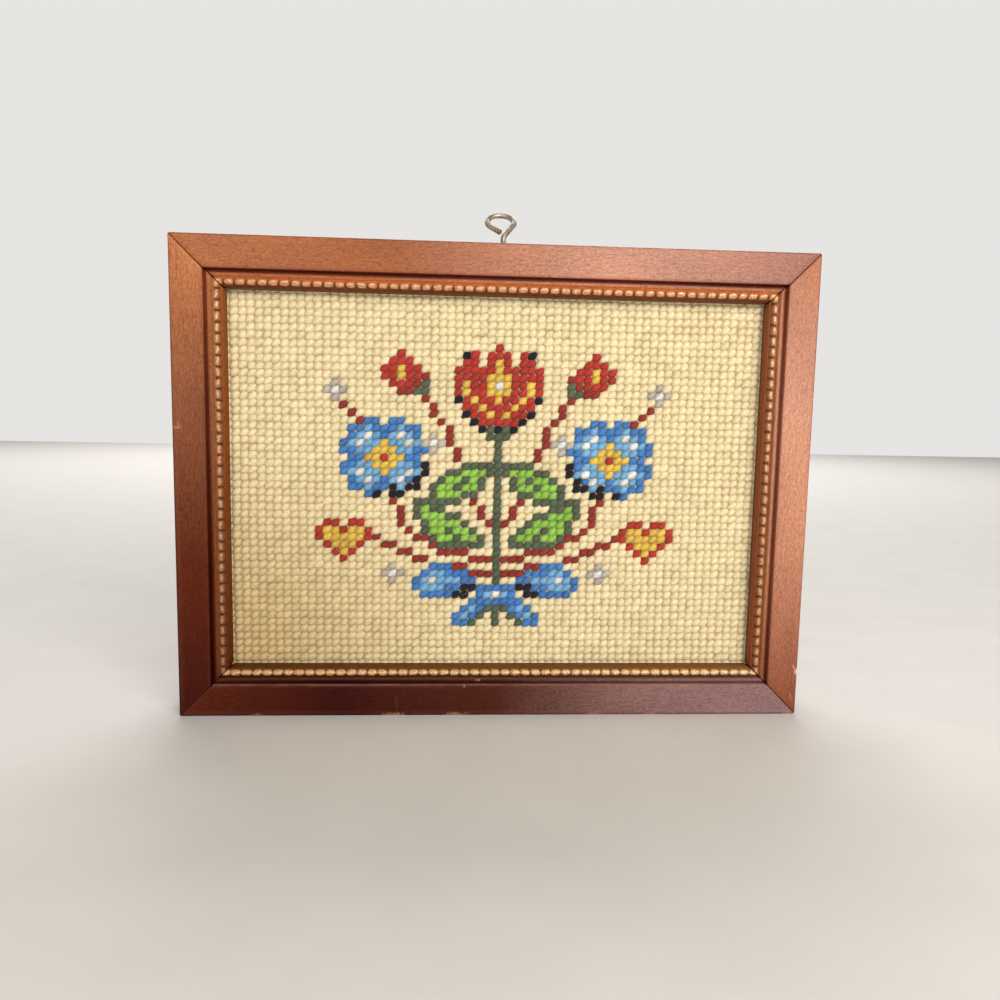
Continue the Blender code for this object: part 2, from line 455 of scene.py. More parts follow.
def rail_stations(length, chips):
    """Places along a rail, close together where it is chipped and at its eased ends."""
    half = length / 2
    places = list(np.linspace(-half, half, int(length / (2.2 * MM))))
    for chip in chips:
        reach = chip.reach_along + 0.4
        spacing = max(0.07, min(0.2, chip.reach_along / 3))
        places += list(chip.along * MM + np.arange(-reach, reach + 0.01, spacing) * MM)
    places += [side * (half - inset * MM) for side in (-1, 1) for inset in (0.12, 0.3)]
    places = sorted(place for place in places if -half <= place <= half)
    kept = [places[0]]
    for place in places[1:]:
        if place - kept[-1] > 0.05 * MM:
            kept.append(place)
    return kept


def build_rail(side, material):
    """One mitred rail with its chips, worn arrises and eased mitre edges."""
    length, place = RAILS[side]
    chips = [chip for chip in CHIPS if chip.rail == side]
    outline = moulding_outline()
    normals = outline_normals(outline)
    half = length / 2
    stations = rail_stations(length, chips)
    points = []
    values = {name: [] for name in ("along", "worn", "bare", "grime_and_shade", "bank", "lip")}
    for station in stations:
        for (inward, height), normal in zip(outline, normals):
            reach = (half - inward - MITRE_SETBACK) / half
            x = station * reach
            end_gap = half - abs(station)
            press = MITRE_EASE * max(0.0, 1 - end_gap / MITRE_EASE_REACH)
            bare = 0.0
            for chip in chips:
                across = math.dist((inward, height), (chip.inward * MM, chip.height * MM)) / chip.reach_across
                away = math.hypot((x - chip.along * MM) / chip.reach_along, across) / MM
                away *= 1 + CHIP_RAGGEDNESS * noise.noise(Vector((x, inward, height)) * CHIP_GRAIN)
                share = min(1.0, max(0.0, 1 - away) * CHIP_EDGE)
                press = max(press, share * chip.depth * MM)
                bare = max(bare, share * chip.shown)
            point = Vector((x, FRONT + DEPTH - height, inward))
            point += Vector((0, -normal[1], normal[0])) * press
            # Rubbed stain, with the painted highlight on the bottom rail's step top.
            rub = strongest(side, inward, height, RUBBED_AND_LIT)
            if height > GROOVE_HEIGHT - 1 * MM:
                rub = max(rub, MITRE_RUB * math.exp(-end_gap / MITRE_RUB_REACH))
            points.append(place @ point)
            values["along"].append(x)
            values["worn"].append(rub)
            values["bare"].append(bare)
            # Painted shade in the hollows and at the edges.
            values["grime_and_shade"].append(strongest(side, inward, height, PAINTED_SHADE))
            values["bank"].append(unit((inward - RIDGE_CENTRE) / (0.6 * MM)))
            values["lip"].append(unit((inward - BEAD_CENTRE) / (0.5 * MM)))
    distance = [0.0]
    for before, after in zip(outline, outline[1:]):
        distance.append(distance[-1] + math.dist(after, before))
    values["around"] = distance * len(stations)
    mesh = mesh_from(side + "_rail", points, tube_faces(len(stations), len(outline)), **values)
    piece = add_piece(side + "_rail", outward(mesh), material)
    mesh.set_sharp_from_angle(angle=math.radians(38))
    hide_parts("rail_" + side)


def wood_coordinates(tree, side_shift):
    """Coordinates that run along the grain and around the profile, in metres."""
    inputs = {"X": attribute(tree, "along"), "Y": attribute(tree, "around"), "Z": side_shift}
    return put(tree, "ShaderNodeCombineXYZ", inputs).outputs[0]


def rail_share(tree, side):
    """How far a place lies along a rail, from 0 at its left or lower end to 1 at the other."""
    start, end = rail_reach(side)
    return calc(tree, "DIVIDE", calc(tree, "SUBTRACT", attribute(tree, "along"), start), end - start)


STREAK_SHARE = 0.9
FLECK_SHARE = 1.4
BLOTCH_SHARE = 0.6
PORE_SHARE = 0.06
BARE_WOOD = srgb(214, 158, 122)
# The pale colour of thinly rubbed stain, which also paints the highlight on the bottom rail's step top.
THIN_STAIN_AND_HIGHLIGHT = srgb(206, 156, 138)


def stained_wood(side, shift):
    """Reddish stained and lacquered wood, with its grain along the rail and its arrises rubbed, and painted
    shade, highlight and reflection in its colour.
    """
    material, tree, shader = new_material("stained_wood_" + side, IOR=1.5, Specular_IOR_Level=GLOSS[side])
    coords = wood_coordinates(tree, shift)
    blotch = noise_value(tree, stretched(tree, coords, (0.35, 1.0, 1.0)), 90, 3)
    streak = noise_value(tree, stretched(tree, coords, (0.25, 1.0, 1.0)), 1300, 3, 0.6)
    fleck = noise_value(tree, stretched(tree, coords, (0.55, 1.0, 1.0)), 1800, 2, 0.6)
    pore = noise_value(tree, stretched(tree, coords, (0.14, 1.0, 1.0)), 2600, 2, 0.5)
    share = rail_share(tree, side)
    brightness = weighted(
        tree,
        1 - (STREAK_SHARE + FLECK_SHARE + BLOTCH_SHARE) / 2,
        (streak, STREAK_SHARE),
        (fleck, FLECK_SHARE),
        (blotch, BLOTCH_SHARE),
        (remap(tree, pore, 0.58, 0.72), -PORE_SHARE),
    )
    # Stain tones with painted shade and painted reflection in them.
    colour = ramp(tree, share, WOOD_TONES[side])
    # Bead wood and lip tones, with painted shade in them too.
    colour = mix(tree, attribute(tree, "bank"), colour, ramp(tree, share, BEAD_TONES[side]))
    colour = mix(tree, attribute(tree, "lip"), colour, ramp(tree, share, LIP_TONES[side]))
    colour = put(tree, "ShaderNodeHueSaturation", {"Color": colour, "Value": brightness}).outputs[0]
    rub = noise_value(tree, stretched(tree, coords, (0.3, 1.0, 1.0)), 420, 3, 0.6)
    # Rubbed stain and the painted highlight on the bottom rail's step top.
    rubbed = calc(tree, "MULTIPLY", attribute(tree, "worn"), remap(tree, rub, 0.30, 0.65, 0.45, 1.0))
    colour = mix(tree, calc(tree, "MULTIPLY", rubbed, 0.6), colour, THIN_STAIN_AND_HIGHLIGHT)
    # Painted shade in the hollows and at the edges.
    colour = tinted(tree, attribute(tree, "grime_and_shade"), colour, PAINTED_SHADE_TINT)
    colour = mix(tree, attribute(tree, "bare"), colour, BARE_WOOD)
    roughness = weighted(tree, remap(tree, blotch, 0.2, 0.8, 0.40, 0.52), (rubbed, 0.1))
    peel = noise_value(tree, stretched(tree, coords, (0.6, 1.0, 1.0)), 800, 2, 0.5)
    relief = weighted(tree, 0.0, (streak, 0.6), (fleck, 0.6))
    normal = bumped(tree, relief, 0.05 * MM, 0.8, bumped(tree, peel, 0.12 * MM, 0.8))
    feed(shader, Base_Color=colour, Roughness=roughness, Normal=normal)
    return material


# ---- beads

BEAD_PITCH = 3.4 * MM
BEAD_RADIUS = 1.12 * MM
NOTCH_RADIUS = 0.70 * MM
BEAD_SIDES = 16
# How far the gilt lies from the crown of the beads towards the outside, in degrees, how far it spreads beyond
# that, and how dark the painted shade in the notches between the beads is.
GILT_TURN = by_side(-40, 36, -34, 38)
GILT_SPREAD = by_side(0.08, 0.05, 0.22, 0.18)
NOTCH_SHADE = by_side(0.9, 1.0, 0.5, 1.0)
# How far the gilt is lost towards the notches, and how far the cuts run on across the beads' inner side.
GILT_LOSS = by_side(0.85, 0.95, 0.55, 0.95)
CUT_REACH = by_side(0.0, 0.34 * MM, 0.0, 0.26 * MM)
BEAD_STEPS = (0.0, 0.05, 0.11, 0.2, 0.35, 0.5, 0.65, 0.8, 0.89, 0.95)


def build_beads(side, material, seed):
    """The carved beads of one rail: barrels in a row, parted by fine notches and cut off by the mitres."""
    length, place = RAILS[side]
    rng = random.Random(seed)
    half = length / 2
    span = 2 * (half - BEAD_CENTRE + BEAD_RADIUS)
    count = round(span / BEAD_PITCH)
    pitch = span / count
    points, gilt, notch, along, around, stations = [], [], [], [], [], []
    turned = math.radians(GILT_TURN[side])
    edges = [-span / 2 + pitch * index + rng.uniform(-0.12, 0.12) * MM for index in range(count + 1)]
    for index in range(count):
        swell = BEAD_RADIUS * rng.uniform(0.95, 1.03)
        slant = rng.uniform(-0.15, 0.25)
        wear = rng.uniform(-1, 1)
        for share in BEAD_STEPS:
            x = edges[index] + (edges[index + 1] - edges[index]) * share
            bulge = max(0.0, 1 - abs(2 * share - 1) ** 3.2)
            radius = NOTCH_RADIUS + (swell - NOTCH_RADIUS) * bulge**0.8
            stations.append((x, radius, slant, bulge, wear))
    stations.append((edges[-1], NOTCH_RADIUS, 0.0, 0.0, 0.0))
    for x0, radius, slant, bulge, wear in stations:
        for turn in range(BEAD_SIDES):
            angle = 2 * math.pi * turn / BEAD_SIDES
            reach = radius + CUT_REACH[side] * (1 - bulge) * max(0.0, math.cos(angle))
            inward = BEAD_CENTRE + reach * math.cos(angle)
            height = BEAD_FLOOR + reach * 0.98 * math.sin(angle)
            limit = half - inward - MITRE_SETBACK
            x = max(-limit, min(limit, x0 + slant * (inward - BEAD_CENTRE)))
            points.append(place @ Vector((x, FRONT + DEPTH - height, inward)))
            kept = 1 - GILT_LOSS[side] * (1 - bulge**1.5)
            gilt.append(math.sin(angle - turned) * kept + GILT_SPREAD[side] + 0.06 * wear)
            # How strongly the notch's painted shade shows here.
            cut = unit(1.25 * (1 - bulge) ** 1.5)
            notch.append(cut * unit(0.9 + 0.6 * math.cos(angle)))
            along.append(x)
            around.append(radius * angle)
    faces = tube_faces(len(stations), BEAD_SIDES)
    mesh = mesh_from(side + "_beads", points, faces, gilt=gilt, notch=notch, along=along, around=around)
    add_piece(side + "_beads", outward(mesh, 0.002 * MM), material)


THIN_GILT = srgb(150, 84, 36)
# The colour of the painted shade in the notches between the beads.
NOTCH_SHADE_COLOUR = srgb(48, 18, 4)


def rubbed_gilt(side):
    """Gold paint rubbed over brown wood: bright on the crowns, worn through in spots, with painted shade in
    the notches.
    """
    material, tree, shader = new_material("rubbed_gilt_" + side, IOR=1.5, Specular_IOR_Level=0.5)
    coords = wood_coordinates(tree, 0.0)
    # Patchy grime on the gilt: it thins the gold and wears it through in spots.
    grime_and_shade = noise_value(tree, coords, 1300, 3, 0.6)
    fine = noise_value(tree, coords, 5200, 2, 0.6)
    cover = remap(tree, weighted(tree, attribute(tree, "gilt"), (grime_and_shade, 1.1)), 0.97, 1.39)
    share = rail_share(tree, side)
    # Gilt tones, with painted shade towards the lower end of the left rail.
    gold = ramp(tree, share, GILT_TONES[side])
    gold = mix(tree, remap(tree, grime_and_shade, 0.35, 0.65, 0.6, 0.0), gold, THIN_GILT)
    # Bead wood tones, with painted shade in them too.
    colour = mix(tree, cover, ramp(tree, share, BEAD_TONES[side]), gold)
    # Painted shade in the notches.
    notch = calc(tree, "MULTIPLY", attribute(tree, "notch"), NOTCH_SHADE[side])
    colour = mix(tree, notch, colour, NOTCH_SHADE_COLOUR)
    metallic = calc(tree, "MULTIPLY", cover, 0.35)
    roughness = weighted(tree, remap(tree, fine, 0.3, 0.7, 0.30, 0.50), (notch, 0.45))
    normal = bumped(tree, grime_and_shade, 0.14 * MM, 0.9)
    feed(shader, Base_Color=colour, Metallic=metallic, Roughness=roughness, Normal=normal)
    return material


# ---- mitres


# How far the glue reaches to each side of the joint, in mitre setbacks.
GLUE_REACH = 1.15


def build_mitre_glue(material):
    """Thin dark seams of glue, sunk a little between the rails at each corner."""
    sink = 0.35 * MM
    back_end = MOULDING_WIDTH - REBATE_WIDTH - sink
    outline = [
        (sink, 0.5 * MM),
        (sink, DEPTH - sink),
        (FLAT_WIDTH - sink, DEPTH - sink),
        (FLAT_WIDTH - sink, GROOVE_HEIGHT - sink),
        (MOULDING_WIDTH - sink, BEAD_FLOOR - 2.5 * sink),
        (MOULDING_WIDTH - sink, REBATE_CEILING + sink),
        (back_end, REBATE_CEILING + sink),
        (back_end, 0.5 * MM),
    ]
    points, faces = [], []
    for side in ("bottom", "top"):
        length, place = RAILS[side]
        for end in (-1, 1):
            faces += tube_faces(2, len(outline), len(points))
            for shift in (-GLUE_REACH, GLUE_REACH):
                for inward, height in outline:
                    x = end * (length / 2 - inward + shift * MITRE_SETBACK)
                    points.append(place @ Vector((x, FRONT + DEPTH - height, inward)))
    mesh = mesh_from("mitre_glue", points, faces)
    add_piece("mitre_glue", outward(mesh), material, smooth=False)


def dark_glue():
    """Old glue darkened with stain."""
    material, tree, shader = new_material("dark_glue", Roughness=0.8, Specular_IOR_Level=0.1)
    value = noise_value(tree, object_coordinates(tree), 900, 3)
    feed(shader, Base_Color=mix(tree, value, srgb(30, 8, 3), srgb(62, 26, 14)))
    return material


# ---- needlework

STITCH_WIDTH = 2.656 * MM
STITCH_HEIGHT = 2.40 * MM
COLUMNS = 67
ROWS = 52
CANVAS_FRONT = PANEL_BACK - 0.9 * MM
STITCH_RINGS = 7
STITCH_SIDES = 8
STITCH_HALF_WIDTH = 1.32 * MM
STITCH_HALF_DEPTH = 0.90 * MM
STITCH_ARCH = 0.14 * MM
# How far a stitch runs on under its neighbours, as a factor of its length, and how deep its ends sink there.
STITCH_OVERRUN = 1.17
STITCH_TUCK = 0.25 * MM
CANVAS_WANDER = 0.22 * MM
STITCH_JITTER = 0.08 * MM
WOOL_LUMPS = 0.10 * MM

# Generic folk flowers. Each letter is one stitch in the yarn of that letter, and a dot is left to the ground.
MOTIFS = {
    "tulip": """
    .....R.....
    .NR.RRR.RN.
    .RR.RYR.RR.
    RRRRRYRRRRR
    RRRRYYYRRRR
    RYRRYWYRRYR
    RYRRYYYRRYR
    NRYRRYRRYRN
    .RRYRRRYRR.
    .NRRYRYRRN.
    ..NRRRRRN..
    ...NDNDN...
    ....DDD....
    """,
    "daisy": """
    ...BB.BB...
    .BBLBBBLBB.
    .BLWLBLWLB.
    BLWLLYLLWLB
    BBLLYYYLLBB
    .BBYYRYYBB.
    BBLLYYYLLBN
    BLWLLYLLWLN
    .BLWLBLWBN.
    .BBLBBNLNN.
    ...BN.NN...
    """,
    "bud": """
    ..R...
    .RRR..
    RRYRR.
    RRYRRT
    .RRRTD
    ..TTDD
    """,
    "leaf": """
    DD.......
    DGDD.....
    DGGGDD...
    .DGGGGD..
    .DGGDGGD.
    ..DGGDGGD
    ...DDDDDD
    """,
    "upper_leaf": """
    ....DDDD
    ..DDGGGD
    .DGGDGD.
    DGGDGGD.
    DGGGDD..
    DDDD....
    """,
    "heart": """
    .RR.RR.
    RYYRYYR
    RYYYYYR
    .RYYYR.
    ..RYR..
    ...R...
    """,
    "berry": """
    .S.
    SWS
    .S.
    """,
    "bow": """
    ..BBB...........BBB..
    .BLLBBB.......BBBLLB.
    BLWLLLBB.....BBLLLWLB
    BLLLBBNNBBBBBNNBBLLLB
    .BBBBNN.BLWLB.NNBBBB.
    .......BBBBBBB.......
    ......BLB...BLB......
    .....BLB.....BLB.....
    .....BB.......BB.....
    """,
}
DESIGN_COLUMNS = 45
DESIGN_LEFT = (COLUMNS - DESIGN_COLUMNS) // 2
DESIGN_TOP = 7

# Motifs by the column and row of their upper left stitch. The left half is worked again in mirror image.
PLACES = [
    ("tulip", 17, 0),
    ("daisy", 3, 10),
    ("bud", 8, 1),
    ("berry", 1, 5),
    ("berry", 13, 12),
    ("leaf", 12, 21),
    ("upper_leaf", 14, 16),
    ("heart", 0, 24),
    ("berry", 8, 30),
    ("bow", 12, 30),
]
STEMS = [
    ("D", [(22, 12), (22, 32)]),
    ("T", [(21, 29), (15, 28), (11, 25), (9, 21)]),
    ("T", [(13, 7), (15, 10), (17, 14), (20, 23), (21, 24)]),
    ("T", [(3, 8), (5, 10)]),
    ("T", [(21, 31), (15, 30), (10, 28), (7, 26)]),
    ("D", [(21, 36), (19, 38)]),
    ("D", [(22, 36), (22, 38)]),
]
CREAM = srgb(247, 226, 182)
YARNS = {
    "R": ("red", srgb(192, 58, 42)),
    "T": ("russet", srgb(158, 54, 40)),
    "N": ("navy", srgb(26, 25, 34)),
    "B": ("blue", srgb(72, 134, 204)),
    "L": ("sky", srgb(126, 186, 230)),
    "Y": ("yellow", srgb(250, 204, 84)),
    "W": ("white", srgb(250, 248, 238)),
    "G": ("lime", srgb(158, 214, 84)),
    "D": ("sage", srgb(94, 106, 80)),
    "S": ("silver", srgb(204, 194, 180)),
}
# How dark the wool is painted in the valleys beside its crowns, as painted shade, and how much wider its
# stitches are than usual.
CREAM_VALLEY_SHADE = (0.64, 0.63, 0.57)
COLOURED_VALLEY_SHADE = (0.32, 0.30, 0.30)
CREAM_PLUMPNESS = 1.05
COLOURED_PLUMPNESS = 1.10


def design():
    """The yarn letter of each coloured stitch by (column, row) of the canvas."""
    stitches = {}
    for letter, corners in STEMS:
        for start, end in zip(corners, corners[1:]):
            count = max(abs(end[0] - start[0]), abs(end[1] - start[1]))
            for step in range(count + 1):
                column = round(start[0] + (end[0] - start[0]) * step / count)
                row = round(start[1] + (end[1] - start[1]) * step / count)
                stitches[column, row] = letter
    for name, left, top in PLACES:
        for row, line in enumerate(MOTIFS[name].split()):
            for column, letter in enumerate(line):
                if letter != ".":
                    stitches[left + column, top + row] = letter
    result = {}
    for (column, row), letter in stitches.items():
        if column <= DESIGN_COLUMNS // 2:
            result[DESIGN_LEFT + column, DESIGN_TOP + row] = letter
            result[DESIGN_LEFT + DESIGN_COLUMNS - 1 - column, DESIGN_TOP + row] = letter
    return result


def drift(x, z, seed):
    """How far the canvas threads wander at a place, from -1 to 1."""
    return noise.noise(Vector((x * 32, z * 32, seed))) + 0.5 * noise.noise(Vector((x * 90, z * 90, seed + 7)))


def stitch_vertices(rng, column, row, plump):
    """Vertices of one slanting stitch: point, share along and around the yarn, and nearness to its crown."""
    x = (column - (COLUMNS - 1) / 2) * STITCH_WIDTH
    z = ((ROWS - 1) / 2 - row) * STITCH_HEIGHT
    x += CANVAS_WANDER * drift(x, z, 1.0) + rng.gauss(0, STITCH_JITTER)
    z += CANVAS_WANDER * drift(x, z, 5.0) + rng.gauss(0, STITCH_JITTER)
    lean_x = STITCH_WIDTH * 0.50 * rng.uniform(0.84, 1.14)
    lean_z = STITCH_HEIGHT * 0.41 * rng.uniform(0.90, 1.10)
    half_width = plump * STITCH_HALF_WIDTH * rng.uniform(0.88, 1.10)
    half_depth = STITCH_HALF_DEPTH * rng.uniform(0.92, 1.08)
    arch = STITCH_ARCH * rng.uniform(0.8, 1.2)
    skew = rng.uniform(-0.12, 0.12)
    length = math.hypot(lean_x, lean_z)
    run = Vector((lean_x, 0, lean_z)) / length
    across = Vector((run.z, 0, -run.x))
    towards = Vector((0, -1, 0))
    middle = Vector((CENTRE.x + x, CANVAS_FRONT + 0.05 * MM, CENTRE.z + z))
    vertices = []
    for ring in range(STITCH_RINGS + 2):
        share = ring / (STITCH_RINGS + 1)
        bend = math.sin(math.pi * share)
        centre = middle + run * length * (2 * share - 1) * STITCH_OVERRUN
        centre += towards * (arch * bend**0.7 - STITCH_TUCK * (1 - bend))
        centre += across * skew * half_width * bend
        if ring in (0, STITCH_RINGS + 1):
            vertices.append((centre, share, 0.5, 0.0))
            continue
        width = half_width * bend**0.45
        depth = half_depth * bend**0.48
        for side in range(STITCH_SIDES):
            angle = 2 * math.pi * side / STITCH_SIDES - math.pi / 2
            point = centre + across * width * math.cos(angle) + towards * depth * math.sin(angle)
            point += noise.noise_vector(point * 1100) * WOOL_LUMPS
            crown = max(0.0, (math.sin(angle) - 0.7) / 0.3) * bend**0.6
            vertices.append((point, share, side / STITCH_SIDES, crown))
    return vertices


def stitch_faces(start):
    """Faces of one stitch whose first vertex has this number."""
    first = start + 1
    last = first + (STITCH_RINGS - 1) * STITCH_SIDES
    tip = last + STITCH_SIDES
    faces = ring_faces(STITCH_RINGS, STITCH_SIDES, first)
    for side in range(STITCH_SIDES):
        after = (side + 1) % STITCH_SIDES
        faces.append((start, first + after, first + side))
        faces.append((tip, last + side, last + after))
    return faces


def add_wool(name, vertices, faces, material):
    """A piece of wool from its faces and its vertices, which hold point, along, around, crown and tint."""
    points, along, around, crown, tint = zip(*vertices)
    mesh = mesh_from(name, points, faces, along=along, around=around, crown=crown, tint=tint)
    return add_piece(name, outward(mesh), material)


def build_stitches(name, cells, material, seed, plump):
    """All stitches of one yarn as one piece, wider than usual by the plump factor."""
    rng = random.Random(seed)
    vertices, faces = [], []
    for column, row in cells:
        faces += stitch_faces(len(vertices))
        stitch = stitch_vertices(rng, column, row, plump)
        tint = rng.random()
        vertices += [(*vertex, tint) for vertex in stitch]
    return add_wool(name, vertices, faces, material)


# Painted shade that darkens the wool towards the picture's lower left corner.
CORNER_SHADE_TINT = srgb(221, 207, 184)
CORNER_SHADE_REACH = 85 * MM


def shade_at_corner(tree, coords):
    """How strongly painted shade darkens the wool: most at the picture's lower left corner."""
    corner = (LEFT + MOULDING_WIDTH, 0.0, BOTTOM + MOULDING_WIDTH)
    away = put(tree, "ShaderNodeVectorMath", {0: coords, 1: corner}, operation="DISTANCE").outputs["Value"]
    return remap(tree, away, 0.0, CORNER_SHADE_REACH, 1.0, 0.0)


WOOL_GLOSS = {"Specular IOR Level": 0.2, "Sheen Weight": 0.25, "Sheen Roughness": 0.5}


def wool(name, colour, valley_shade):
    """Soft plied wool: fuzzy strands that twist along the stitch, with painted shade in the valleys beside
    its crown and a painted highlight on the crown.
    """
    material, tree, shader = new_material("wool_" + name, Roughness=0.92, **WOOL_GLOSS)
    coords = object_coordinates(tree)
    twist = weighted(tree, 0.0, (attribute(tree, "around"), 8.0), (attribute(tree, "along"), 2.2))
    ripple = calc(tree, "SINE", calc(tree, "MULTIPLY", twist, 2 * math.pi))
    fuzz = noise_value(tree, coords, 1500, 3, 0.7)
    patch = noise_value(tree, coords, 150, 2, 0.5)
    shade = weighted(
        tree,
        0.0,
        (attribute(tree, "tint"), 0.20),
        (remap(tree, fuzz, 0.30, 0.66), 0.32),
        (ripple, 0.05),
        (remap(tree, patch, 0.3, 0.7), 0.16),
        # The crown term paints a highlight on the crown and shade in the valleys beside it.
        (remap(tree, attribute(tree, "crown"), 0.0, 0.8), 0.32),
    )
    # The darker end holds the painted shade of the valleys, the lighter end the painted highlight of the
    # crowns, besides the wool's own changes of tone.
    darker = tuple(channel * scale for channel, scale in zip(colour, valley_shade))
    lighter = tuple(min(1.0, channel * 1.12 + 0.004) for channel in colour)
    # Painted shade towards the lower left corner.
    shaded_at_corner = tinted(tree, shade_at_corner(tree, coords), mix(tree, shade, darker, lighter), CORNER_SHADE_TINT)
    normal = bumped(tree, fuzz, 0.30 * MM, 0.8, bumped(tree, ripple, 0.06 * MM, 0.6))
    feed(shader, Base_Color=shaded_at_corner, Normal=normal)
    return material


def build_canvas(material):
    """The stretched canvas under the stitches."""
    columns, rows = 60, 44
    points, faces = [], []
    for layer in (CANVAS_FRONT, PANEL_BACK):
        for row in range(rows + 1):
            for column in range(columns + 1):
                x = CENTRE.x + PANEL_WIDTH * (column / columns - 0.5)
                z = CENTRE.z + PANEL_HEIGHT * (row / rows - 0.5)
                points.append((x, layer, z))
    side = columns + 1
    level = side * (rows + 1)
    for base in (0, level):
        for row in range(rows):
            for column in range(columns):
                corner = base + row * side + column
                faces.append((corner, corner + 1, corner + side + 1, corner + side))
    rim = list(range(side))
    rim += [row * side + columns for row in range(1, rows + 1)]
    rim += [rows * side + column for column in range(columns - 1, -1, -1)]
    rim += [row * side for row in range(rows - 1, 0, -1)]
    for start, end in zip(rim, rim[1:] + rim[:1]):
        faces.append((start, end, end + level, start + level))
    mesh = mesh_from("canvas", points, faces)
    piece = add_piece("canvas", outward(mesh), material, smooth=False)
    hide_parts("needlepoint")
    return piece


def tan_canvas():
    """Stiff tan canvas with its weave."""
    material, tree, shader = new_material("tan_canvas", Roughness=0.95)
    coords = object_coordinates(tree)
    fibre = noise_value(tree, coords, 1800, 3, 0.6)
    threads = []
    for scale, direction in ((380.0, "X"), (420.0, "Z")):
        inputs = {"Vector": coords, "Scale": scale, "Distortion": 1.0}
        threads.append(put(tree, "ShaderNodeTexWave", inputs, bands_direction=direction).outputs["Fac"])
    weave = calc(tree, "MAXIMUM", *threads)
    value = calc(tree, "MULTIPLY", weave, remap(tree, fibre, 0.3, 0.7, 0.6, 1.0))
    colour = mix(tree, value, srgb(186, 154, 104), srgb(216, 186, 136))
    feed(shader, Base_Color=colour, Normal=bumped(tree, weave, 0.2 * MM))
    return material


FIBRE_COUNT = 160
FIBRE_SIDES = 3
FIBRE_STEPS = 8


def build_fibres(material, count, seed):
    """Loose wool fibres that lie over the stitches."""
    rng = random.Random(seed)
    vertices, faces = [], []
    for _ in range(count):
        x = rng.uniform(-0.46, 0.46) * (FRAME_WIDTH - 2 * MOULDING_WIDTH)
        z = rng.uniform(-0.46, 0.46) * (FRAME_HEIGHT - 2 * MOULDING_WIDTH)
        heading = rng.uniform(0, 2 * math.pi)
        turn = rng.gauss(0, 0.35)
        length = rng.uniform(1.5, 5.0) * MM
        radius = rng.uniform(0.025, 0.05) * MM
        spot = Vector((CENTRE.x + x, PANEL_FRONT + 0.10 * MM, CENTRE.z + z))
        hop = rng.uniform(0.1, 0.45) * MM
        tint = rng.random()
        faces += tube_faces(FIBRE_STEPS + 1, FIBRE_SIDES, len(vertices))
        for step in range(FIBRE_STEPS + 1):
            share = step / FIBRE_STEPS
            run = Vector((math.cos(heading), 0, math.sin(heading)))
            across = Vector((-run.z, 0, run.x))
            lifted = spot + Vector((0, -hop * math.sin(math.pi * share), 0))
            taper = radius * (1 - 0.7 * abs(2 * share - 1) ** 3)
            for side in range(FIBRE_SIDES):
                angle = 2 * math.pi * side / FIBRE_SIDES
                outwards = across * math.cos(angle) + Vector((0, 1, 0)) * math.sin(angle)
                # A crown of 1 gives each fibre the painted highlight of the stitch crowns along its whole
                # length.
                vertices.append((lifted + outwards * taper, share, side / FIBRE_SIDES, 1.0, tint))
            spot = spot + run * length / FIBRE_STEPS
            heading += turn + rng.gauss(0, 0.12)
    return add_wool("loose_fibres", vertices, faces, material)


# ---- board and screw eye


def brown_board():
    """Raw hardboard: matted brown fibres, a little darker in patches."""
    material, tree, shader = new_material("brown_board", Roughness=0.85)
    coords = object_coordinates(tree)
    fibre = noise_value(tree, stretched(tree, coords, (1.0, 1.0, 0.7)), 1500, 4, 0.7, 0.4)
    patch = noise_value(tree, coords, 30, 3)
    colour = mix(tree, remap(tree, fibre, 0.3, 0.7), srgb(112, 81, 53), srgb(154, 117, 80))
    colour = mix(tree, calc(tree, "MULTIPLY", remap(tree, patch, 0.4, 0.8), 0.3), colour, srgb(84, 58, 38))
    feed(shader, Base_Color=colour, Normal=bumped(tree, fibre, 0.12 * MM))
    return material


WIRE_RADIUS = 0.87 * MM
SHANK_RADIUS = 0.8 * MM
SHANK_X = 0.66 * MM
SHANK_DEPTH = 8.0 * MM
SHANK_RISE = 3.8 * MM
RING_RADIUS = 4.38 * MM
RING_CENTRE = Vector((-0.17, 4.86, 9.47)) * MM
RING_LEAN = math.radians(46)
FREE_END = Vector((-0.56, 0.60, 5.39)) * MM
THREAD_TOP = 1.0 * MM
THREAD_PITCH = 1.1 * MM
THREAD_DEPTH = 0.16 * MM
EYE_SIDES = 20


def smooth_path(points, steps):
    """A smooth path through the points."""
    path = []
    last = len(points) - 1
    for index in range(last):
        before, start, end = points[max(index - 1, 0)], points[index], points[index + 1]
        after = points[min(index + 2, last)]
        for step in range(steps):
            t = step / steps
            bend = 2 * before - 5 * start + 4 * end - after
            twist = 3 * start - before - 3 * end + after
            path.append(start + 0.5 * t * (end - before + t * (bend + t * twist)))
    path.append(points[last])
    return path


